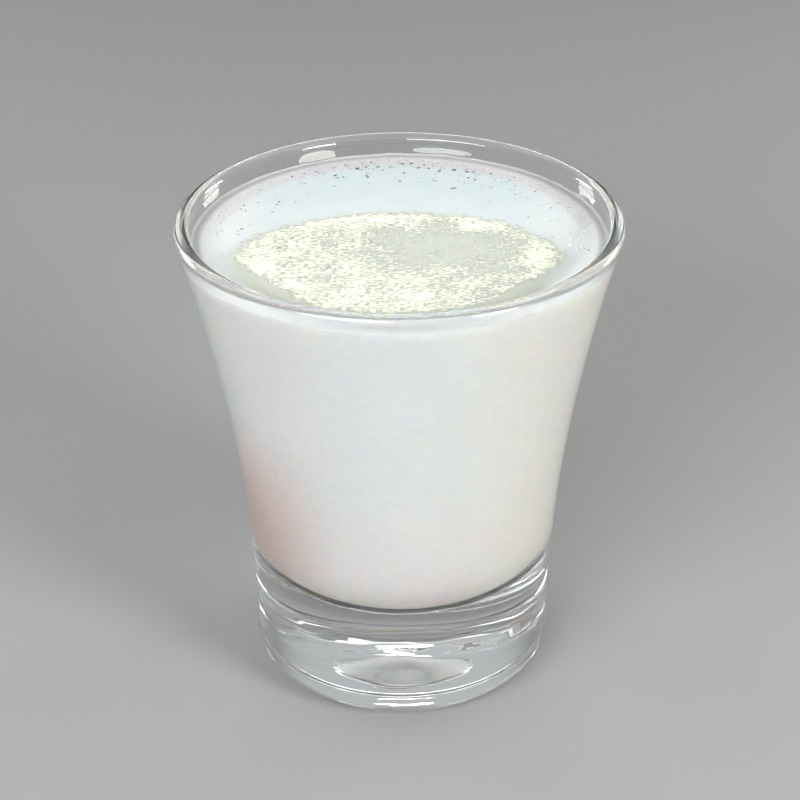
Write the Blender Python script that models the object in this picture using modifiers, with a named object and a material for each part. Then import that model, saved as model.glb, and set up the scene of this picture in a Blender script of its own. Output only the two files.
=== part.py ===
# A small flared tumbler with a heavy base, filled nearly to its lip with milk.
# Both pieces are turned about +Z. The origin is the centre of the face that the glass stands on.

import math

import bpy
import numpy as np

# Outside of the glass, in metres
HEIGHT = 0.0643
RIM_RADIUS = 0.0280
LIP_RADIUS = 0.00097
FOOT_RADIUS = 0.0198
HEEL_REACH = 0.0051
HEEL_HEIGHT = 0.0036

# Inside of the glass
BASE_THICKNESS = 0.0149
CORNER_REACH = 0.0071
CORNER_HEIGHT = 0.0076
WALL_AT_CORNER = 0.0023
WALL_AT_LIP = 0.0015
LIP_SWELL_LENGTH = 0.0016

# Hollow under the base, inside the flat ring that the glass stands on
DIMPLE_RADIUS = 0.0059
DIMPLE_DEPTH = 0.0024

# The milk
MILK_BELOW_LIP = 0.00275
MENISCUS_RISE = 0.0005
MENISCUS_WIDTH = 0.0016
CONTACT_GAP = 0.0003

# How finely the curves are divided
SEGMENTS = 72
HEEL_STEPS = 5
WALL_STEPS = 9
LIP_STEPS = 8
CORNER_STEPS = 6
DIMPLE_STEPS = 4
MENISCUS_STEPS = 4
MERGE_DISTANCE = 0.00001

LIP_LEVEL = HEIGHT - LIP_RADIUS
CORNER_TOP = BASE_THICKNESS + CORNER_HEIGHT
MILK_LEVEL = HEIGHT - MILK_BELOW_LIP

GLASS_COLOUR = (0.90, 0.93, 0.92, 1.0)
GLASS_IOR = 1.5
MILK_COLOUR = (0.88, 0.89, 0.85, 1.0)


def clear_scene():
    for obj in list(bpy.data.objects):
        bpy.data.objects.remove(obj, do_unlink=True)


def make_collection(name):
    collection = bpy.data.collections.new(name)
    bpy.context.scene.collection.children.link(collection)
    return collection


def make_material(name, colour, roughness, transmission=0.0, ior=1.45):
    material = bpy.data.materials.new(name)
    material.use_nodes = True
    shader = material.node_tree.nodes["Principled BSDF"]
    shader.inputs["Base Color"].default_value = colour
    shader.inputs["Roughness"].default_value = roughness
    shader.inputs["Metallic"].default_value = 0.0
    shader.inputs["Transmission Weight"].default_value = transmission
    shader.inputs["IOR"].default_value = ior
    return material


def outer_radius(z):
    """The outer wall: upright above the heel, then flaring with the square of the height up to the lip."""
    share = (np.asarray(z) - HEEL_HEIGHT) / (LIP_LEVEL - HEEL_HEIGHT)
    return FOOT_RADIUS + (RIM_RADIUS - FOOT_RADIUS) * np.clip(share, 0.0, 1.0) ** 2


def wall_thickness(z):
    """The wall thins evenly from the corner to the lip, where it swells to the width of the rounded edge."""
    share = (np.asarray(z) - CORNER_TOP) / (LIP_LEVEL - CORNER_TOP)
    even = WALL_AT_CORNER + (WALL_AT_LIP - WALL_AT_CORNER) * np.clip(share, 0.0, 1.0)
    swell = (2 * LIP_RADIUS - WALL_AT_LIP) * np.exp(-(((LIP_LEVEL - z) / LIP_SWELL_LENGTH) ** 2))
    return even + swell


def inner_radius(z):
    return outer_radius(z) - wall_thickness(z)


def bottom_curve():
    """The level bottom of the inside and its rounded corner, a quarter ellipse up to the wall."""
    angle = np.linspace(0.0, math.pi / 2, CORNER_STEPS + 1)
    z = CORNER_TOP - CORNER_HEIGHT * np.cos(angle)
    corner = np.column_stack([inner_radius(z) - CORNER_REACH * (1 - np.sin(angle)), z])
    return np.vstack([[[0.0, BASE_THICKNESS]], corner])


def inner_wall_curve(top):
    """The inner wall, from just above the corner up to a height, with shorter steps towards the lip."""
    share = np.sin(np.linspace(0.0, math.pi / 2, WALL_STEPS + 1))[1:]
    z = CORNER_TOP + (top - CORNER_TOP) * share
    return np.column_stack([inner_radius(z), z])


def lip_curve():
    """The rounded edge, from its inner side over the top to its outer side: a half circle."""
    angle = np.linspace(math.pi, 0.0, LIP_STEPS + 1)[1:]
    centre = RIM_RADIUS - LIP_RADIUS
    return np.column_stack([centre + LIP_RADIUS * np.cos(angle), LIP_LEVEL + LIP_RADIUS * np.sin(angle)])


def outer_wall_curve():
    z = np.linspace(LIP_LEVEL, HEEL_HEIGHT, WALL_STEPS + 1)[1:]
    return np.column_stack([outer_radius(z), z])


def heel_curve():
    """The rounding between the wall and the standing face: a quarter ellipse."""
    angle = np.linspace(0.0, math.pi / 2, HEEL_STEPS + 1)[1:]
    r = FOOT_RADIUS - HEEL_REACH * (1 - np.cos(angle))
    z = HEEL_HEIGHT * (1 - np.sin(angle))
    return np.column_stack([r, z])


def dimple_curve():
    """The shallow hollow under the base, from its edge in to the axis: a parabola."""
    r = np.linspace(DIMPLE_RADIUS, 0.0, DIMPLE_STEPS + 1)
    return np.column_stack([r, DIMPLE_DEPTH * (1 - (r / DIMPLE_RADIUS) ** 2)])


def glass_profile():
    """Half of the glass in section, from the inside's bottom up, over the lip and down the outside."""
    return np.vstack(
        [
            bottom_curve(),
            inner_wall_curve(LIP_LEVEL),
            lip_curve(),
            outer_wall_curve(),
            heel_curve(),
            dimple_curve(),
        ]
    )


def moved_inwards(curve, distance):
    """The curve moved square to itself, away from the glass. Its first point stays on the axis."""
    along = np.gradient(curve, axis=0)
    along[0] = (1.0, 0.0)
    along /= np.linalg.norm(along, axis=1)[:, None]
    moved = curve + distance * np.column_stack([-along[:, 1], along[:, 0]])
    moved[0, 0] = 0.0
    return moved


def milk_profile():
    """Half of the milk in section, from the middle of its surface out to the wall, and down to the axis."""
    side = moved_inwards(np.vstack([bottom_curve(), inner_wall_curve(MILK_LEVEL + MENISCUS_RISE)]), CONTACT_GAP)
    edge_radius = side[-1, 0]
    share = np.linspace(0.0, 1.0, MENISCUS_STEPS + 1)[:-1]
    surface = np.column_stack(
        [edge_radius - MENISCUS_WIDTH * (1 - share), MILK_LEVEL + (side[-1, 1] - MILK_LEVEL) * share**2]
    )
    middle = np.array([[0.0, MILK_LEVEL]])
    return np.vstack([middle, surface, side[::-1]])


def turned_piece(name, profile, material, collection):
    """Turns a profile, given as (radius, height), about +Z into one closed piece."""
    points = [(float(r), 0.0, float(z)) for r, z in profile]
    edges = [(i, i + 1) for i in range(len(points) - 1)]
    mesh = bpy.data.meshes.new(name)
    mesh.from_pydata(points, edges, [])
    mesh.materials.append(material)
    obj = bpy.data.objects.new(name, mesh)
    collection.objects.link(obj)
    turn = obj.modifiers.new("Turn", "SCREW")
    turn.axis = "Z"
    turn.angle = 2 * math.pi
    turn.steps = SEGMENTS
    turn.render_steps = SEGMENTS
    turn.use_merge_vertices = True
    turn.merge_threshold = MERGE_DISTANCE
    turn.use_smooth_shade = True
    return obj


def main():
    clear_scene()
    glass_of_milk = make_collection("glass_of_milk")
    glass = make_material("clear_glass", GLASS_COLOUR, 0.02, transmission=1.0, ior=GLASS_IOR)
    milk = make_material("milk", MILK_COLOUR, 0.25)
    turned_piece("glass", glass_profile(), glass, glass_of_milk)
    turned_piece("milk", milk_profile(), milk, glass_of_milk)


main()
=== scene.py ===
import math

import bpy
import numpy as np
from mathutils import Matrix, Vector


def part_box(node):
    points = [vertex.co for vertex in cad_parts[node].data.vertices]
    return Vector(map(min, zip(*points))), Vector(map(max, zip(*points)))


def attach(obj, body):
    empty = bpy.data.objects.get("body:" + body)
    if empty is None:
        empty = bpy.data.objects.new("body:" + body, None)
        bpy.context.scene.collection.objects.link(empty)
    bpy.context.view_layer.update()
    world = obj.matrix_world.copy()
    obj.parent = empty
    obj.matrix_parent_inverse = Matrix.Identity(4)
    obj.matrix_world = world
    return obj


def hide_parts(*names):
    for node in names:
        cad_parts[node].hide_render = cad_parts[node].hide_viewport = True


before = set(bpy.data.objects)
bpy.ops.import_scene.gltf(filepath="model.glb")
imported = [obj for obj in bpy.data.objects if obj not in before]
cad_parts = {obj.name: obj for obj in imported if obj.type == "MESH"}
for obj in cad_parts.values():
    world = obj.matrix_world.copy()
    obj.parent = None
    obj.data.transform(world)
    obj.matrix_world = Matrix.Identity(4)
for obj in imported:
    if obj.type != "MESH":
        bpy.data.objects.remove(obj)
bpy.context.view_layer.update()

mm = 0.001
glassLow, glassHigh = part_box("glass")
print("frame loaded: glass", [round(v / mm, 2) for v in glassHigh - glassLow], "mm")


# Helpers: noise, meshes and materials


def latticeNoise(points, cell, seed):
    # Gradient noise in space: every corner of a lattice of the given cell holds a random unit slope, and a
    # point blends the eight slopes around it, with weights 6t^5 - 15t^4 + 10t^3 along each axis. It runs from
    # about -1 to 1.
    slopes = np.random.default_rng(seed).normal(size=(512, 3))
    slopes /= np.linalg.norm(slopes, axis=1)[:, None]
    place = points / np.array(cell)
    corner = np.floor(place).astype(np.int64)
    inside = place - corner
    fade = inside**3 * (inside * (inside * 6 - 15) + 10)
    total = np.zeros(points.shape[:-1])
    for step in np.ndindex(2, 2, 2):
        at = corner + step
        # three large odd factors scatter a corner's numbers over the 512 slopes
        mixed = at[..., 0] * 73856093 ^ at[..., 1] * 19349663 ^ at[..., 2] * 83492791
        mixed = (mixed ^ (mixed >> 13)) * 1274126177
        slope = slopes[(mixed ^ (mixed >> 16)) & 511]
        weight = np.prod(np.where(step, fade, 1 - fade), axis=-1)
        total += weight * np.sum(slope * (inside - step), axis=-1)
    return total * 1.6


def smoothStep(value, zero, one):
    # 0 up to the mark zero, 1 from the mark one, 3t^2 - 2t^3 between; it falls where one is the lower mark
    t = np.clip((value - zero) / (one - zero), 0, 1)
    return t * t * (3 - 2 * t)


def meshFrom(name, points, faces):
    # a smooth shaded piece at the origin, from an array of points and a list of faces
    mesh = bpy.data.meshes.new(name)
    mesh.from_pydata(points.tolist(), [], faces)
    mesh.polygons.foreach_set("use_smooth", np.ones(len(mesh.polygons), bool))
    mesh.update()
    piece = bpy.data.objects.new(name, mesh)
    bpy.context.scene.collection.objects.link(piece)
    return piece


def ringsOf(profile, columns):
    # row i, column j: (r_i cos a_j, r_i sin a_j, z_i)
    angle = np.linspace(0, 2 * math.pi, columns, endpoint=False)
    r, z = profile[:, :1], profile[:, 1:]
    return np.stack([r * np.cos(angle), r * np.sin(angle), z * np.ones_like(angle)], axis=-1)


def turnedPiece(name, firstPole, rings, lastPole):
    # A closed turned surface: rings is an array of rows by columns by 3 that runs from the first pole to the
    # last. Neighbouring rows and columns are joined by four-sided faces, and each pole by a fan of triangles.
    rows, columns, _ = rings.shape
    points = np.vstack([[firstPole], rings.reshape(-1, 3), [lastPole]])
    number = np.arange(rows * columns).reshape(rows, columns) + 1
    beside = np.roll(number, -1, axis=1)
    quads = np.stack([number[:-1], number[1:], beside[1:], beside[:-1]], axis=-1).reshape(-1, 4)
    last = len(points) - 1
    firstFan = [(0, int(a), int(b)) for a, b in zip(number[0], beside[0])]
    lastFan = [(last, int(b), int(a)) for a, b in zip(number[-1], beside[-1])]
    return meshFrom(name, points, quads.tolist() + firstFan + lastFan)


def paint(piece, name, colours):
    # one colour for each point, as an attribute that the material reads
    layer = piece.data.color_attributes.new(name, "FLOAT_COLOR", "POINT")
    whole = np.ones((len(piece.data.vertices), 4), np.float32)
    whole[:, :3] = colours
    layer.data.foreach_set("color", whole.ravel())


def newMaterial(name, colour, roughness, **sockets):
    # a plain shader with the given colour, roughness and other socket values
    material = bpy.data.materials.new(name)
    material.use_nodes = True
    shader = material.node_tree.nodes["Principled BSDF"]
    shader.inputs["Base Color"].default_value = (*colour, 1)
    shader.inputs["Roughness"].default_value = roughness
    for socket, value in sockets.items():
        shader.inputs[socket].default_value = value
    return material


def addRamp(tree, value, marks, ends=(0, 1), course="LINEAR"):
    # goes from the first end to the second while a socket's value goes from the first mark to the second,
    # straight or as a smooth step, and is held at the ends
    ramp = tree.nodes.new("ShaderNodeMapRange")
    ramp.interpolation_type = course
    for socket, number in zip(("From Min", "From Max", "To Min", "To Max"), (*marks, *ends)):
        ramp.inputs[socket].default_value = number
    tree.links.new(value, ramp.inputs["Value"])
    return ramp.outputs["Result"]


def addMath(tree, operation, first, second):
    # one sum, product or greater value of two sockets
    maths = tree.nodes.new("ShaderNodeMath")
    maths.operation = operation
    tree.links.new(first, maths.inputs[0])
    tree.links.new(second, maths.inputs[1])
    return maths.outputs["Value"]


def addPlace(tree):
    # the x, y and z of the point on the piece, as three sockets
    parts = tree.nodes.new("ShaderNodeSeparateXYZ")
    tree.links.new(tree.nodes.new("ShaderNodeTexCoord").outputs["Object"], parts.inputs["Vector"])
    return parts.outputs


def addNoise(tree, cell, detail):
    # noise on the piece, whose features are about one cell apart
    noise = tree.nodes.new("ShaderNodeTexNoise")
    noise.inputs["Scale"].default_value = 1 / cell
    noise.inputs["Detail"].default_value = detail
    tree.links.new(tree.nodes.new("ShaderNodeTexCoord").outputs["Object"], noise.inputs["Vector"])
    return noise.outputs["Fac"]


grain = {"detail": 3.0, "marks": (0.3, 0.7)}


def tintedMaterial(name, attribute, settings, **sockets):
    # the painted colour, made lighter and darker by fine noise, from 1 - change to 1 + change
    s = settings
    material = newMaterial(name, (1, 1, 1), s["roughness"], IOR=s["refraction"], **sockets)
    tree = material.node_tree
    tint = tree.nodes.new("ShaderNodeVertexColor")
    tint.layer_name = attribute
    noise = addNoise(tree, s["grainCell"], grain["detail"])
    change = addRamp(tree, noise, grain["marks"], (1 - s["grainChange"], 1 + s["grainChange"]))
    shaded = tree.nodes.new("ShaderNodeVectorMath")
    shaded.operation = "SCALE"
    tree.links.new(tint.outputs["Color"], shaded.inputs[0])
    tree.links.new(change, shaded.inputs["Scale"])
    tree.links.new(shaded.outputs["Vector"], tree.nodes["Principled BSDF"].inputs["Base Color"])
    return material


def finishWith(piece, material):
    # the material in the piece's only slot
    piece.data.materials.clear()
    piece.data.materials.append(material)


def standsFor(piece, node):
    # the piece moves with the glass and is shown instead of the solid's node
    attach(piece, "root")
    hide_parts(node)


# The glass: one turned wall with a solid base, slightly wavy as pressed glass is

glassShape = {
    "rimRadius": glassHigh.x,
    "height": glassHigh.z,
    "lipRadius": 0.97 * mm,
    "footRadius": 19.8 * mm,
    "heelReach": 5.1 * mm,
    "heelHeight": 3.6 * mm,
    "ridgeLevel": 4.7 * mm,
    "ridgeHeight": 0.18 * mm,
    "ridgeWidth": 0.26 * mm,
    "baseThickness": 14.9 * mm,
    "cornerReach": 7.1 * mm,
    "cornerHeight": 7.6 * mm,
    "wallAtBowl": 2.3 * mm,
    "wallAtLip": 1.5 * mm,
    "lipSwell": 1.6 * mm,
    "dimpleRadius": 5.9 * mm,
    "dimpleDepth": 2.4 * mm,
    "dimplePowers": (2.0, 1.3),
    # steps along the profile, from the middle of the inside round to the middle of the underside
    "bottomSteps": 8,
    "cornerSteps": 20,
    "innerSteps": 60,
    "lipSteps": 24,
    "wallSteps": 94,
    "ridgeSteps": 26,
    "heelSteps": 24,
    "footSteps": 36,
    "dimpleSteps": 24,
    "columns": 288,
    # the outer wall's waves, which fade in between two marks at the foot and out between two at the top
    "waveHeight": 0.03 * mm,
    "waveCell": (9 * mm, 9 * mm, 6 * mm),
    "waveSeed": 3,
    "waveFoot": (4.3 * mm, 6.3 * mm),
    "waveTop": (62 * mm, 56 * mm),
    # more waves in the base alone, short and level, and higher at the back
    "baseWaveHeight": 0.05 * mm,
    "backWaveHeight": 0.05 * mm,
    "backWaves": (0, 8 * mm),
    "baseWaveCell": (7 * mm, 7 * mm, 1.6 * mm),
    "baseWaveSeed": 5,
    "baseWaveTop": (17 * mm, 12 * mm),
    # ripples in the flat ring underneath, which fade at both of its edges
    "rippleHeight": 0.026 * mm,
    "rippleCell": 1.3 * mm,
    "rippleSeed": 7,
    "rippleEdges": ((5.9 * mm, 6.4 * mm), (14.5 * mm, 13.5 * mm)),
    # the finish: clear, satin in the dimple and blurred where it is smeared
    "colour": (0.975, 0.99, 0.985),
    "refraction": 1.5,
    "satinRoughness": 0.45,
    "satinInset": (0.2 * mm, 0.7 * mm),
    "satinAbove": (1.0 * mm, 0.5 * mm),
    "smearRoughness": 0.07,
    "smearCell": 7 * mm,
    "smearDetail": 5.0,
    "smearMarks": (0.54, 0.70),
}
lipLevel = glassShape["height"] - glassShape["lipRadius"]
bowlTop = glassShape["baseThickness"] + glassShape["cornerHeight"]


def outerRadius(z):
    # foot radius plus the flare times the square of the height's share between heel and lip
    g = glassShape
    share = np.clip((z - g["heelHeight"]) / (lipLevel - g["heelHeight"]), 0, 1)
    return g["footRadius"] + (g["rimRadius"] - g["footRadius"]) * share**2


def innerRadius(z):
    # the outer radius less a wall that thins evenly to the lip and swells there to the rounded edge's width
    g = glassShape
    share = np.clip((z - bowlTop) / (lipLevel - bowlTop), 0, 1)
    even = g["wallAtBowl"] + (g["wallAtLip"] - g["wallAtBowl"]) * share
    swell = (2 * g["lipRadius"] - g["wallAtLip"]) * np.exp(-(((lipLevel - z) / g["lipSwell"]) ** 2))
    return outerRadius(z) - even - swell


def insideCurve(top):
    # the flat bottom; the corner as a quarter ellipse, r = wall radius - reach (1 - sin a) and
    # z = corner top - height cos(a); then the wall up to the height top, with shorter steps towards it
    g = glassShape
    angle = np.linspace(0, math.pi / 2, g["cornerSteps"] + 1)
    cornerZ = bowlTop - g["cornerHeight"] * np.cos(angle)
    cornerR = innerRadius(cornerZ) - g["cornerReach"] * (1 - np.sin(angle))
    bottomR = np.linspace(0, cornerR[0], g["bottomSteps"] + 1)[:-1]
    bottom = np.column_stack([bottomR, np.full(g["bottomSteps"], g["baseThickness"])])
    rise = np.sin(np.linspace(0, math.pi / 2, g["innerSteps"] + 1))[1:]
    wallZ = bowlTop + (top - bowlTop) * rise
    wall = np.column_stack([innerRadius(wallZ), wallZ])
    return np.vstack([bottom, np.column_stack([cornerR, cornerZ]), wall])


def lipCurve():
    # half a circle, from the inner side over the top to the outer side
    g = glassShape
    angle = np.linspace(math.pi, 0, g["lipSteps"] + 1)[1:]
    centre = g["rimRadius"] - g["lipRadius"]
    across, up = g["lipRadius"] * np.cos(angle), g["lipRadius"] * np.sin(angle)
    return np.column_stack([centre + across, lipLevel + up])


def outsideCurve():
    # the wall, with the mould's ridge, height times e^-(offset / width)^2, on its finer lowest part; the
    # heel, a quarter ellipse; the flat ring; and the dimple, z = depth (1 - (r / radius)^p)^q
    g = glassShape
    ridgeTop = g["ridgeLevel"] + 3 * g["ridgeWidth"]  # where the ridge has died away
    upper = np.linspace(lipLevel, ridgeTop, g["wallSteps"] + 1)[1:]
    lower = np.linspace(ridgeTop, g["heelHeight"], g["ridgeSteps"] + 1)[1:]
    wallZ = np.concatenate([upper, lower])
    ridge = g["ridgeHeight"] * np.exp(-(((wallZ - g["ridgeLevel"]) / g["ridgeWidth"]) ** 2))
    wall = np.column_stack([outerRadius(wallZ) + ridge, wallZ])
    angle = np.linspace(0, math.pi / 2, g["heelSteps"] + 1)[1:]
    heelR = g["footRadius"] - g["heelReach"] * (1 - np.cos(angle))
    heel = np.column_stack([heelR, g["heelHeight"] * (1 - np.sin(angle))])
    ringR = np.linspace(heelR[-1], g["dimpleRadius"], g["footSteps"] + 1)[1:]
    ring = np.column_stack([ringR, np.zeros(g["footSteps"])])
    dimpleR = np.linspace(g["dimpleRadius"], 0, g["dimpleSteps"] + 1)[1:]
    p, q = g["dimplePowers"]
    dimpleZ = g["dimpleDepth"] * (1 - (dimpleR / g["dimpleRadius"]) ** p) ** q
    return np.vstack([wall, heel, ring, np.column_stack([dimpleR, dimpleZ])])


def glassMaterial():
    # clear, but satin in the hollow under the base, and a little blurred in smears where noise is high
    g = glassShape
    sockets = {"Transmission Weight": 1.0, "IOR": g["refraction"]}
    material = newMaterial("clearGlass", g["colour"], 0.0, **sockets)
    tree = material.node_tree
    x, y, z = addPlace(tree)
    level = tree.nodes.new("ShaderNodeCombineXYZ")
    radius = tree.nodes.new("ShaderNodeVectorMath")
    radius.operation = "LENGTH"
    tree.links.new(x, level.inputs["X"])
    tree.links.new(y, level.inputs["Y"])
    tree.links.new(level.outputs["Vector"], radius.inputs[0])
    within = addRamp(tree, radius.outputs["Value"], [g["dimpleRadius"] - inset for inset in g["satinInset"]])
    underMarks = [g["dimpleDepth"] + above for above in g["satinAbove"]]
    under = addRamp(tree, z, underMarks, (0, g["satinRoughness"]))
    satin = addMath(tree, "MULTIPLY", within, under)
    noise = addNoise(tree, g["smearCell"], g["smearDetail"])
    smears = addRamp(tree, noise, g["smearMarks"], (0, g["smearRoughness"]))
    rough = addMath(tree, "MAXIMUM", satin, smears)
    tree.links.new(rough, tree.nodes["Principled BSDF"].inputs["Roughness"])
    return material


def makeGlass():
    # the profile turned; the outer wall's radius and the foot ring's height have noise added
    g = glassShape
    inside = insideCurve(lipLevel)
    profile = np.vstack([inside, lipCurve(), outsideCurve()])
    rings = ringsOf(profile[1:-1], g["columns"])
    firstWall = len(inside) - 1 + g["lipSteps"]
    firstHeel = firstWall + g["wallSteps"] + g["ridgeSteps"]
    firstFoot = firstHeel + g["heelSteps"]
    wall = rings[firstWall:firstHeel]
    y, z = wall[..., 1], wall[..., 2]
    waves = g["waveHeight"] * latticeNoise(wall, g["waveCell"], g["waveSeed"])
    baseWaves = g["baseWaveHeight"] + g["backWaveHeight"] * smoothStep(y, *g["backWaves"])
    baseWaves *= smoothStep(z, *g["baseWaveTop"])
    waves += baseWaves * latticeNoise(wall, g["baseWaveCell"], g["baseWaveSeed"])
    waves *= smoothStep(z, *g["waveTop"]) * smoothStep(z, *g["waveFoot"])
    radius = np.hypot(wall[..., 0], wall[..., 1])
    wall[..., :2] *= (1 + waves / radius)[..., None]
    foot = rings[firstFoot : firstFoot + g["footSteps"]]
    radius = np.hypot(foot[..., 0], foot[..., 1])
    noise = latticeNoise(foot, g["rippleCell"], g["rippleSeed"])
    ripples = g["rippleHeight"] * np.clip(0.5 + 0.5 * noise, 0, None)
    for marks in g["rippleEdges"]:
        ripples *= smoothStep(radius, *marks)
    foot[..., 2] += ripples
    piece = turnedPiece("glassTumbler", (0, 0, profile[0, 1]), rings, (0, 0, profile[-1, 1]))
    finishWith(piece, glassMaterial())
    standsFor(piece, "glass")


# The milk: fills the inside, reaches just into the wall and rises a little where it meets it

milkShape = {
    "level": glassHigh.z - 2.75 * mm,
    "intoWall": 0.06 * mm,
    "columns": 360,
    "surfaceRings": 90,
    "ringPower": 1.5,  # above 1 the surface's rings lie closer towards the edge
    # the rise at the wall: a mean with noise along the edge, and one small bump at a place
    "riseMean": 0.22 * mm,
    "riseWidth": 0.4 * mm,
    "riseDepth": 3 * mm,
    "riseWander": 0.11 * mm,
    "riseCell": 2.4 * mm,
    "riseSeed": 31,
    "edgeRadius": 25.5 * mm,  # of the circle on which the noise and the bump are measured
    "bump": (23.9 * mm, 11.3 * mm),
    "bumpRise": 0.45 * mm,
    "bumpWidth": 1.0 * mm,
    "rippleHeight": 0.012 * mm,
    "rippleCell": 2.2 * mm,
    "rippleSeed": 33,
    # the finish
    "tintCell": 4 * mm,
    "tintSeed": 21,
    "roughness": 0.35,
    "refraction": 1.35,
    "scatterReach": (1.0, 0.8, 0.6),
    "scatterScale": 0.9 * mm,
    "mirrorDepths": (0.2 * mm, 0.6 * mm),
    "grainCell": 1.2 * mm,
    "grainChange": 0.02,
}
# Each tint has its colour, how far its border wanders, and the pairs of marks between which it comes in,
# one pair for each value that the functions below give. The shares of several pairs multiply.
milkTints = {
    # the surface, most of it painted light and shade
    # painted: the top kept darker than the side to offset the stronger light on top, and tinted by painted
    # cool light
    "cool": ((0.62, 0.67, 0.68), 0),
    # a painted cool sheen at the back
    "back": ((0.565, 0.635, 0.655), 3 * mm, (5 * mm, 14 * mm)),
    # painted warmer shade in front
    "front": ((0.435, 0.45, 0.385), -3 * mm, (2 * mm, -10 * mm)),
    # painted light at the left and right
    "side": ((0.675, 0.705, 0.70), 2 * mm, (16 * mm, 22 * mm)),
    # painted reflection: the duller greenish middle of the sheen on the skin
    "gap": ((0.54, 0.56, 0.49), 0.05, (1.05, 0.85)),
    "foam": ((0.60, 0.58, 0.595), 0.6 * mm, (21.2 * mm, 23.4 * mm), (-6 * mm, 12 * mm)),
    # painted light against the near wall, where the rim shades the milk
    "nearEdgeLight": ((0.86, 0.88, 0.89), 0, (22.5 * mm, 24 * mm), (-8 * mm, -16 * mm)),
    # painted shade where the milk meets the far wall
    "edge": ((0.40, 0.40, 0.40), 0, (24.5 * mm, 25.3 * mm), (-14 * mm, -6 * mm)),
    # the side and the bottom
    "body": ((0.84, 0.87, 0.885), 0),
    # painted pink light towards the bottom
    "low": ((0.86, 0.825, 0.825), 0, (40 * mm, 15 * mm)),
    # painted light: lighter at the left, lighter and warmer at the right
    "leftFlankLight": ((0.96, 0.965, 0.965), 0, (-4 * mm, -17 * mm)),
    "rightFlankLight": ((0.965, 0.945, 0.905), 0, (5 * mm, 17 * mm)),
    # a painted peach reflection at the lower left in front, and a paler one at the lower right
    "leftPeachReflection": ((0.74, 0.56, 0.50), 0, (-6 * mm, -18 * mm), (48 * mm, 22 * mm), (9 * mm, -3 * mm)),
    "rightPeachReflection": ((0.94, 0.89, 0.84), 0, (9 * mm, 18 * mm), (48 * mm, 22 * mm), (9 * mm, -3 * mm)),
    "bottom": ((0.95, 0.95, 0.95), 0, (15.6 * mm, 14.9 * mm)),
}
# where the gaps in the skin show the painted duller middle of the sheen: its centre, and half its width and
# depth
gapPatch = {"centre": (-0.4 * mm, -7.4 * mm), "half": (21 * mm, 15 * mm)}


def tinted(colours, name, wander, *values):
    # colours + (tint - colours) share, where the share is the product of the smooth steps of the values; the
    # first value has the border's reach times the wander added
    tint, reach, *marks = milkTints[name]
    share = smoothStep(values[0] + reach * wander, *marks[0])
    for value, pair in zip(values[1:], marks[1:]):
        share = share * smoothStep(value, *pair)
    return colours + (np.array(tint) - colours) * share[..., None]


def ovalReach(x, y, centre, half):
    # the distance from the centre, in half widths across and half depths along: 1 on the oval
    return np.hypot((x - centre[0]) / half[0], (y - centre[1]) / half[1])


def surfaceColours(points):
    # painted light and shade: blue white at the back to darker cream grey in front, lighter at the sides, a
    # duller greenish middle under the sheen, grey shade against the far wall and white light against the near
    # one; and a pinkish foam band at the back, the milk's own
    x, y = points[..., 0], points[..., 1]
    r = np.hypot(x, y)
    wander = latticeNoise(points, milkShape["tintCell"], milkShape["tintSeed"])
    colours = milkTints["cool"][0] + 0 * points
    colours = tinted(colours, "back", wander, y)
    colours = tinted(colours, "front", wander, y)
    colours = tinted(colours, "side", wander, np.abs(x))
    colours = tinted(colours, "gap", wander, ovalReach(x, y, gapPatch["centre"], gapPatch["half"]))
    colours = tinted(colours, "foam", wander, r, y)
    colours = tinted(colours, "nearEdgeLight", wander, r, y)
    return tinted(colours, "edge", wander, r, y)


def sideColours(points):
    # white, with painted light: lighter at the left and right and warmer at the right, a little pink towards
    # the bottom, and in front a painted peach reflection at the lower left and a paler one at the lower right
    x, y, z = points[..., 0], points[..., 1], points[..., 2]
    colours = milkTints["body"][0] + 0 * points
    colours = tinted(colours, "low", 0, z)
    colours = tinted(colours, "leftFlankLight", 0, x)
    colours = tinted(colours, "rightFlankLight", 0, x)
    colours = tinted(colours, "leftPeachReflection", 0, x, z, y)
    colours = tinted(colours, "rightPeachReflection", 0, x, z, y)
    return tinted(colours, "bottom", 0, z)


def addWallMirror(material):
    # Against the wall the milk mirrors at shallow angles, as light in glass does on meeting a lighter medium:
    # there a mirror is mixed in by the Fresnel law for the ratio of the two refractive indices.
    m = milkShape
    tree = material.node_tree
    fresnel = tree.nodes.new("ShaderNodeFresnel")
    fresnel.inputs["IOR"].default_value = m["refraction"] / glassShape["refraction"]
    below = addRamp(tree, addPlace(tree)["Z"], [m["level"] - depth for depth in m["mirrorDepths"]])
    share = addMath(tree, "MULTIPLY", fresnel.outputs["Fac"], below)
    mirror = tree.nodes.new("ShaderNodeBsdfAnisotropic")
    mirror.inputs["Roughness"].default_value = 0.0
    mixed = tree.nodes.new("ShaderNodeMixShader")
    tree.links.new(share, mixed.inputs["Fac"])
    tree.links.new(tree.nodes["Principled BSDF"].outputs["BSDF"], mixed.inputs[1])
    tree.links.new(mirror.outputs["BSDF"], mixed.inputs[2])
    tree.links.new(mixed.outputs["Shader"], tree.nodes["Material Output"].inputs["Surface"])


def edgeRise(angle):
    # how far the milk climbs the wall: a mean, plus noise along the edge, plus one bump, its rise times
    # e^-(distance / width)^2
    m = milkShape
    edge = m["edgeRadius"] * np.stack([np.cos(angle), np.sin(angle), 0 * angle], axis=-1)
    away = np.hypot(edge[..., 0] - m["bump"][0], edge[..., 1] - m["bump"][1])
    bump = m["bumpRise"] * np.exp(-((away / m["bumpWidth"]) ** 2))
    return m["riseMean"] + m["riseWander"] * latticeNoise(edge, m["riseCell"], m["riseSeed"]) + bump


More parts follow.
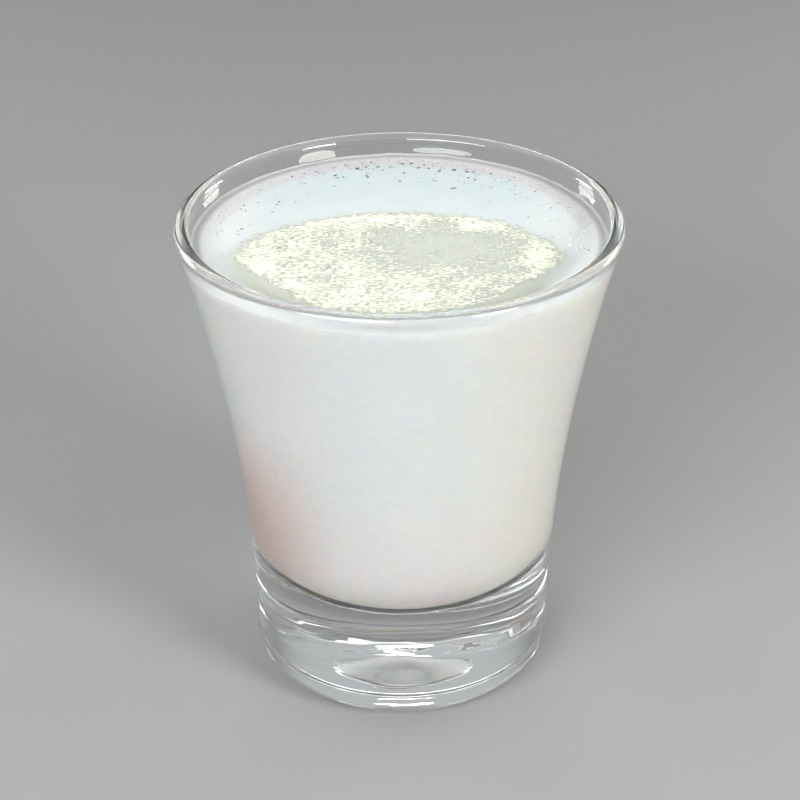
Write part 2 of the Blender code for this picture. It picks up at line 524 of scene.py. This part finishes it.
def makeMilk():
    # the inside's curve, moved square to itself into the wall and turned, under a nearly level surface
    m = milkShape
    wall = insideCurve(m["level"])
    step = np.gradient(wall, axis=0)
    step[0] = (1, 0)
    step /= np.linalg.norm(step, axis=1)[:, None]
    wall = wall + m["intoWall"] * np.column_stack([step[:, 1], -step[:, 0]])
    side = ringsOf(wall[1:][::-1], m["columns"])
    angle = np.linspace(0, 2 * math.pi, m["columns"], endpoint=False)
    # the side's upper rows are lifted to the edge, which keeps to the wall
    lift = edgeRise(angle) * smoothStep(side[..., 2], m["level"] - m["riseDepth"], m["level"]) ** 2
    z = side[..., 2] + lift
    r = np.hypot(side[..., 0], side[..., 1]) + innerRadius(z) - innerRadius(side[..., 2])
    side = np.stack([r * np.cos(angle), r * np.sin(angle), z], axis=-1)
    # the surface: rows from near the axis out to the edge, level but for the rise and faint ripples
    share = np.linspace(0, 1, m["surfaceRings"] + 2)[1:-1, None]
    share = 1 - (1 - share) ** m["ringPower"]
    r = share * r[0]
    climb = (z[0] - m["level"]) * smoothStep(r, r[-1] - m["riseWidth"], side[0, :, 0].max()) ** 2
    surface = np.stack([r * np.cos(angle), r * np.sin(angle), m["level"] + climb], axis=-1)
    ripples = latticeNoise(surface, m["rippleCell"], m["rippleSeed"])
    surface[..., 2] += m["rippleHeight"] * ripples * (1 - share)
    top, bottom = (0, 0, m["level"]), (0, 0, wall[0, 1])
    piece = turnedPiece("milkDrink", top, np.concatenate([surface, side]), bottom)
    # the milk's colours, most of them painted light and shade, as the tint that the material reads
    surfaceTint = surfaceColours(np.vstack([[top], surface.reshape(-1, 3)]))
    sideTint = sideColours(np.vstack([side.reshape(-1, 3), [bottom]]))
    paint(piece, "milkTint", np.vstack([surfaceTint, sideTint]))
    sockets = {
        "Subsurface Weight": 1.0,
        "Subsurface Radius": m["scatterReach"],
        "Subsurface Scale": m["scatterScale"],
    }
    material = tintedMaterial("freshMilk", "milkTint", m, **sockets)
    addWallMirror(material)
    finishWith(piece, material)
    standsFor(piece, "milk")


# The skin and sheen: a thin film in flakes on the middle of the milk, open in its middle; the flakes' relief
# is real, and their cream colour a painted highlight with painted shade at their feet

skinAndSheenShape = {
    "centre": (-0.4 * mm, -7.4 * mm),
    "half": (22.2 * mm, 15.6 * mm),
    "columns": 310,
    "rows": 270,
    "rowReach": 0.99,  # the first and last rows, as a share of half the depth
    "height": 0.05 * mm,
    "steepness": 0.12 * mm,
    "sink": 0.10 * mm,
    # the flakes: long, fine and broad noise, each with its cell, seed and weight
    "noises": (
        ((0.69 * mm, 0.30 * mm, 1.0), 41, 1.0),
        ((0.40 * mm, 0.20 * mm, 1.0), 42, 0.5),
        ((3.6 * mm, 2.2 * mm, 1.0), 43, 0.45),
    ),
    "bias": 0.40,
    "hole": 0.95,
    "holeCentre": (6.0 * mm, -3.0 * mm),
    "holeHalf": (10.0 * mm, 6.4 * mm),
    # changes of the bias, between marks across and marks along: the near right, twice the far edge, and the
    # right and left tips
    "areas": (
        (-0.22, (2 * mm, 12 * mm), (-6 * mm, -14 * mm)),
        (0.35, (7 * mm, 2 * mm), (1 * mm, 6 * mm)),
        (0.68, (5 * mm, 9 * mm), (-1 * mm, 3 * mm)),
    ),
    "tips": ((0.42, (14 * mm, 17 * mm)), (0.25, (-14 * mm, -18 * mm))),
    # the border: ragged and round, but straight at the near left and near right, each with a point on it and
    # the direction it faces
    "cut": 2.2,
    "borderMarks": (0.84, 1.02),
    "borderWander": 0.045,
    "straights": (((-21.4 * mm, -6.3 * mm), (-0.785, -0.618)), ((20.4 * mm, -8.0 * mm), (0.765, -0.644))),
    "straightMarks": (-1.4 * mm, 1.2 * mm),
    "straightWander": 0.5 * mm,
    "wanderCell": (1.5 * mm, 1.0 * mm, 1.0),
    "wanderSeed": 44,
    # the finish, from where the film leaves the milk to its full height: painted shade at the flakes' feet to
    # a painted cream highlight on their tops
    "lowShadeColour": (0.40, 0.41, 0.35),
    "highlightColour": (0.76, 0.76, 0.625),
    "underColour": (0.8, 0.8, 0.8),
    "roughness": 0.13,
    "refraction": 1.45,
    "grainCell": 0.5 * mm,
    "grainChange": 0.03,
}


def filmBias(x, y, flat):
    # how thick the film is on the whole: a level, less e^-reach^2 in the hole, plus the areas' and the tips'
    # smooth steps, less a deep cut outside the ragged border
    k = skinAndSheenShape
    bias = k["bias"] - k["hole"] * np.exp(-(ovalReach(x, y, k["holeCentre"], k["holeHalf"]) ** 2))
    for change, across, along in k["areas"]:
        bias += change * smoothStep(x, *across) * smoothStep(y, *along)
    for change, across in k["tips"]:
        bias += change * smoothStep(x, *across)
    wander = latticeNoise(flat, k["wanderCell"], k["wanderSeed"])
    border = ovalReach(x, y, k["centre"], k["half"]) + k["borderWander"] * wander
    bias -= k["cut"] * smoothStep(border, *k["borderMarks"])
    for start, facing in k["straights"]:
        outside = (x - start[0]) * facing[0] + (y - start[1]) * facing[1]
        bias -= k["cut"] * smoothStep(outside + k["straightWander"] * wander, *k["straightMarks"])
    return bias


def makeSkinAndSheen():
    # Row v and column u lie at x = centre + half width u sqrt(1 - v^2), y = centre + half depth v. The height
    # is the noises' sum plus the bias, times the steepness, cut flat above and below. Where it is below 0 the
    # milk covers it, which leaves flakes and holes.
    k = skinAndSheenShape
    v = np.linspace(-k["rowReach"], k["rowReach"], k["rows"])[:, None]
    u = np.linspace(-1, 1, k["columns"])[None, :]
    x = k["centre"][0] + k["half"][0] * u * np.sqrt(1 - v**2)
    y = k["centre"][1] + k["half"][1] * v + 0 * u
    flat = np.stack([x, y, 0 * x], axis=-1)
    noise = sum(weight * latticeNoise(flat, cell, seed) for cell, seed, weight in k["noises"])
    z = np.clip(k["steepness"] * (noise + filmBias(x, y, flat)), -k["height"], k["height"])
    z[[0, -1], :] = -k["height"]
    z[:, [0, -1]] = -k["height"]
    level = milkShape["level"]
    top = np.stack([x, y, level + z], axis=-1).reshape(-1, 3)
    number = np.arange(len(top)).reshape(z.shape)
    corners = [number[:-1, :-1], number[:-1, 1:], number[1:, 1:], number[1:, :-1]]
    quads = np.stack(corners, axis=-1).reshape(-1, 4)
    # the border, taken once round against the clock, goes down to a flat bottom
    border = np.concatenate([number[0, :-1], number[:-1, -1], number[-1, :0:-1], number[:0:-1, 0]])
    under = top[border].copy()
    under[:, 2] = level - k["sink"]
    lower = np.arange(len(border)) + len(top)
    ring = np.stack([border, lower, np.roll(lower, -1), np.roll(border, -1)], axis=-1)
    faces = quads.tolist() + ring.tolist() + [lower[::-1].tolist()]
    piece = meshFrom("milkSkinAndSheen", np.vstack([top, under]), faces)
    # painted shade where a flake leaves the milk, turning to a painted cream highlight at full height
    share = np.clip(z.ravel() / k["height"], 0, 1)[:, None]
    topTint = np.array(k["lowShadeColour"]) * (1 - share) + np.array(k["highlightColour"]) * share
    paint(piece, "skinSheenTint", np.vstack([topTint, np.tile(k["underColour"], (len(under), 1))]))
    finishWith(piece, tintedMaterial("creamSkinAndSheen", "skinSheenTint", k))
    standsFor(piece, "milk")


# The bubbles: low domes with painted shade at the foot and light on top, most of them along the back edge

bubbleShape = {
    "columns": 12,
    "rows": 5,
    "domeHeight": 0.8,  # in radii
    "sink": 0.04 * mm,
    "edgeRadius": 25.4 * mm,  # of the milk's surface
    "seed": 51,
    # x, y and radius in mm of the largest, and by how much that radius is multiplied
    "largest": (
        (-5.57, 21.18, 0.24), (-2.8, 21.7, 0.20), (-8.5, 18.9, 0.18), (-3.7, 23.2, 0.15), (-4.4, 21.7, 0.14),
        (0.5, 22.7, 0.17), (0.7, 19.6, 0.16), (1.7, 22.9, 0.18), (2.6, 21.3, 0.17), (3.4, 22.3, 0.14),
        (4.0, 21.1, 0.15), (5.4, 20.1, 0.16), (7.4, 20.5, 0.22), (9.1, 19.8, 0.17), (9.2, 17.9, 0.14),
        (12.3, 19.2, 0.15), (-11.0, 20.2, 0.15), (-14.2, 18.6, 0.14), (7.0, 14.4, 0.16), (7.4, 14.5, 0.13),
    ),
    "largestGrowth": 1.2,
    # small ones scattered about the back: the spread of their angle, the least distance from the edge with
    # the shape and scale of what is added, and the ranges of their radius and of how dark their feet are
    "scattered": 170,
    "scatteredSpread": 0.75,
    "scatteredInset": 1.2 * mm,
    "scatteredGamma": (2.2, 1.3 * mm),
    "scatteredSize": (0.07 * mm, 0.17 * mm),
    "scatteredDark": (0.5, 1.0),
    # foam against the wall
    "foam": 640,
    "foamSpread": 1.5,
    "foamInset": (0.5 * mm, 2.8 * mm),
    "foamSize": (0.04 * mm, 0.10 * mm),
    "foamDark": (0.2, 0.65),
    # painted glints: white domes at the right
    "glints": 12,
    "glintCentre": (22.3 * mm, -1.0 * mm),
    "glintSpread": (0.7 * mm, 1.6 * mm),
    "glintSize": (0.08 * mm, 0.2 * mm),
    # the finish: how light the tops of the four kinds are, and the share of the height where the top begins;
    # below it the foot is darkened as painted shade
    "crownLight": (0.70, 0.64, 0.58, 0.85),
    "crownMarks": (0.72, 0.98),
    "footLight": 0.80,
    "footShadeDarkening": 0.72,
    "hue": (1.0, 0.985, 0.98),
    "roughness": 0.10,
    "refraction": 1.40,
    "grainCell": 0.3 * mm,
    "grainChange": 0.06,
}


def bubblePlaces():
    # x, y and radius of each bubble, how dark the painted shade at its foot is, and how light its top is
    k = bubbleShape
    draw = np.random.default_rng(k["seed"])
    largest = np.array(k["largest"]) * (mm, mm, k["largestGrowth"] * mm)
    turn = math.pi / 2 + draw.normal(0, k["scatteredSpread"], k["scattered"])
    reach = k["edgeRadius"] - k["scatteredInset"] - draw.gamma(*k["scatteredGamma"], k["scattered"])
    size = draw.uniform(*k["scatteredSize"], k["scattered"])
    scattered = np.column_stack([reach * np.cos(turn), reach * np.sin(turn), size])
    turn = math.pi / 2 + draw.uniform(-k["foamSpread"], k["foamSpread"], k["foam"])
    reach = k["edgeRadius"] - draw.uniform(*k["foamInset"], k["foam"])
    size = draw.uniform(*k["foamSize"], k["foam"])
    foam = np.column_stack([reach * np.cos(turn), reach * np.sin(turn), size])
    near = draw.normal(0, 1, (k["glints"], 2)) * k["glintSpread"] + k["glintCentre"]
    glints = np.column_stack([near, draw.uniform(*k["glintSize"], k["glints"])])
    kinds = [largest, scattered, foam, glints]
    scatteredDark = draw.uniform(*k["scatteredDark"], len(scattered))
    foamDark = draw.uniform(*k["foamDark"], len(foam))
    dark = np.concatenate([np.ones(len(largest)), scatteredDark, foamDark, np.zeros(len(glints))])
    return np.vstack(kinds), dark, np.repeat(k["crownLight"], [len(kind) for kind in kinds])


def makeBubbles():
    # a dome of radius R has r = R cos(a) and z = R height sin(a), with the angle a from 0 at the foot to a
    # right angle on top; its foot goes straight down into the milk
    k = bubbleShape
    every, dark, crownLight = bubblePlaces()
    rise = np.linspace(0, math.pi / 2, k["rows"] + 1)[:-1]
    profile = np.column_stack([np.cos(rise), k["domeHeight"] * np.sin(rise)])
    rings = ringsOf(np.vstack([[1, 0], profile]), k["columns"])
    unit = np.vstack([rings.reshape(-1, 3), [[0, 0, k["domeHeight"]]], [[0, 0, 0]]])
    points = unit[None] * every[:, 2, None, None]
    points[..., :2] += every[:, None, :2]
    points[..., 2] += milkShape["level"]
    # the first ring and the bottom's middle are sunk
    points[:, : k["columns"], 2] -= k["sink"]
    points[:, -1, 2] -= k["sink"]
    number = np.arange(rings.shape[0] * k["columns"]).reshape(rings.shape[:2])
    beside = np.roll(number, -1, axis=1)
    quads = np.stack([number[:-1], beside[:-1], beside[1:], number[1:]], axis=-1).reshape(-1, 4)
    crown, base = number.size, number.size + 1
    capFan = np.stack([number[-1], beside[-1], np.full(k["columns"], crown)], axis=-1)
    baseFan = np.stack([beside[0], number[0], np.full(k["columns"], base)], axis=-1)
    shift = (np.arange(len(every)) * len(unit))[:, None, None]
    faces = (quads[None] + shift).reshape(-1, 4).tolist()
    faces += (np.vstack([capFan, baseFan])[None] + shift).reshape(-1, 3).tolist()
    piece = meshFrom("milkBubbles", points.reshape(-1, 3), faces)
    # painted shade: each foot is darkened by its darkness times the darkening, and the glints, white all
    # over, are painted glints
    top = smoothStep(unit[:, 2] / k["domeHeight"], *k["crownMarks"])[None, :, None]
    foot = (k["footLight"] - k["footShadeDarkening"] * dark)[:, None, None]
    colours = (foot * (1 - top) + crownLight[:, None, None] * top) * np.array(k["hue"])
    paint(piece, "bubbleShadeTint", colours.reshape(-1, 3))
    finishWith(piece, tintedMaterial("bubbleFilmAndShade", "bubbleShadeTint", k))
    standsFor(piece, "milk")


makeGlass()
print("glass made")
makeMilk()
print("milk made")
makeSkinAndSheen()
print("skin made")
makeBubbles()
print("bubbles made")


# Studio: a pale floor, soft panels and the camera at the photograph's angle

studio = {
    "floorSize": 6.0,
    "floorGap": 0.05 * mm,
    "floorColour": (0.29, 0.29, 0.29),
    "floorRoughness": 0.9,
    "floorShine": 0.1,
    "skyColour": (0.95, 0.98, 1.0),
    "skyStrength": 0.08,
    "glowStrength": 0.50,
    "glowPlace": (0, 0.74, 0.67),
    "glowMarks": (0.62, 0.92),
    "sideStrength": 0.20,
    "sideMarks": (0.45, 0.90),
    "ringStrength": 1.5,
    "ringFoot": (0.72, 0.76),
    "ringTop": (0.84, 0.90),
    "lightTurns": 20,
}
# name, place, width and height, watts, colour; each panel faces the middle of the glass
panels = [
    ("frontPanel", (-0.20, -0.39, 0.28), (0.40, 0.15), 2.70, (0.96, 0.98, 1.0)),
    ("rightPanel", (0.32, -0.30, 0.22), (0.17, 0.13), 2.2, (1.0, 0.98, 0.90)),
    ("backLeftPanel", (-0.38, 0.24, 0.10), (0.14, 0.14), 0.62, (1.0, 0.97, 0.96)),
    ("backRightPanel", (0.38, 0.24, 0.10), (0.14, 0.14), 0.70, (1.0, 0.99, 0.94)),
]
# the small oval lamp behind the glass, whose reflection lies on the milk
lamp = {
    "place": (-0.0016, 0.340, 0.229),
    "target": (-0.0006, -0.0078, 0.0617),
    "size": (0.101, 0.033),
    "watts": 0.030,
    "colour": (1.0, 0.97, 0.85),
}


def makeFloor():
    # a square of one face, just under the glass
    corners = np.array([[-1, -1, 0], [1, -1, 0], [1, 1, 0], [-1, 1, 0]]) * studio["floorSize"] / 2
    floor = meshFrom("studioFloor", corners - [0, 0, studio["floorGap"]], [(0, 1, 2, 3)])
    sockets = {"Specular IOR Level": studio["floorShine"]}
    finishWith(floor, newMaterial("paleFloor", studio["floorColour"], studio["floorRoughness"], **sockets))


def makeLight(name, place, target, size, watts, colour):
    # a soft oval light of a width and height at a place, facing a target
    light = bpy.data.lights.new(name, "AREA")
    light.shape = "ELLIPSE"
    light.size, light.size_y = size
    light.energy = watts
    light.color = colour
    holder = bpy.data.objects.new(name, light)
    bpy.context.scene.collection.objects.link(holder)
    holder.location = place
    holder.rotation_euler = (Vector(target) - Vector(place)).to_track_quat("-Z", "Y").to_euler()


def makeWorld():
    # A dim even sky with a soft glow behind, which grows with the cosine of the angle to its middle; one at
    # each side, which grows with the size of the direction's x; and a bright ring overhead, between two
    # values of z.
    s = studio
    world = bpy.data.worlds.new("studioWorld")
    world.use_nodes = True
    tree = world.node_tree
    direction = tree.nodes.new("ShaderNodeTexCoord").outputs["Generated"]
    cosine = tree.nodes.new("ShaderNodeVectorMath")
    cosine.operation = "DOT_PRODUCT"
    cosine.inputs[1].default_value = s["glowPlace"]
    tree.links.new(direction, cosine.inputs[0])
    parts = tree.nodes.new("ShaderNodeSeparateXYZ")
    tree.links.new(direction, parts.inputs["Vector"])
    x, _, z = parts.outputs
    strengths = (s["skyStrength"], s["glowStrength"])
    glow = addRamp(tree, cosine.outputs["Value"], s["glowMarks"], strengths, "SMOOTHSTEP")
    right = addRamp(tree, x, s["sideMarks"], (0, s["sideStrength"]), "SMOOTHSTEP")
    left = addRamp(tree, x, [-mark for mark in s["sideMarks"]], (0, s["sideStrength"]), "SMOOTHSTEP")
    ringFoot = addRamp(tree, z, s["ringFoot"], (0, s["ringStrength"]), "SMOOTHSTEP")
    ringTop = addRamp(tree, z, s["ringTop"], (1, 0), "SMOOTHSTEP")
    sides = addMath(tree, "ADD", left, right)
    ring = addMath(tree, "MULTIPLY", ringFoot, ringTop)
    total = addMath(tree, "ADD", addMath(tree, "ADD", glow, sides), ring)
    background = tree.nodes["Background"]
    background.inputs["Color"].default_value = (*s["skyColour"], 1)
    tree.links.new(total, background.inputs["Strength"])
    bpy.context.scene.world = world


def makeStudio():
    # the floor, the lights and the sky, and how they are shown
    makeFloor()
    middle = (0, 0, glassShape["height"] / 2)
    for name, place, size, watts, colour in panels:
        makeLight(name, place, middle, size, watts, colour)
    makeLight("ovalLamp", lamp["place"], lamp["target"], lamp["size"], lamp["watts"], lamp["colour"])
    makeWorld()
    bpy.context.scene.view_settings.view_transform = "Standard"
    # light turns many times inside the clear wall, which would otherwise look black at the rim's sides
    paths = bpy.context.scene.cycles
    paths.max_bounces = paths.glossy_bounces = paths.transmission_bounces = studio["lightTurns"]


# The camera stands 264 mm from the middle of the glass, 30.75 degrees above it, and leans a little
view = {
    "distance": 264.4 * mm,
    "elevation": 30.75,
    "aimHeight": 37.87 * mm,
    "aimRight": -0.07 * mm,
    "roll": -0.43,
    "focalLength": 90.0,
    "sensor": 36.0,
    "clipStart": 0.01,
}


def makeCamera():
    # on a circle about the middle of the glass, facing the aim, then turned about its own line of sight
    camera = bpy.data.cameras.new("photoCamera")
    camera.lens = view["focalLength"]
    camera.sensor_width = view["sensor"]
    camera.clip_start = view["clipStart"]
    holder = bpy.data.objects.new("photoCamera", camera)
    bpy.context.scene.collection.objects.link(holder)
    rise = math.radians(view["elevation"])
    back, up = view["distance"] * math.cos(rise), view["distance"] * math.sin(rise)
    place = Vector((0, -back, glassShape["height"] / 2 + up))
    aim = Vector((view["aimRight"], 0, view["aimHeight"]))
    turn = (aim - place).to_track_quat("-Z", "Y").to_matrix().to_4x4()
    lean = Matrix.Rotation(math.radians(view["roll"]), 4, "Z")
    holder.matrix_world = Matrix.Translation(place) @ turn @ lean
    bpy.context.scene.camera = holder


makeStudio()
makeCamera()
print("studio and camera made")
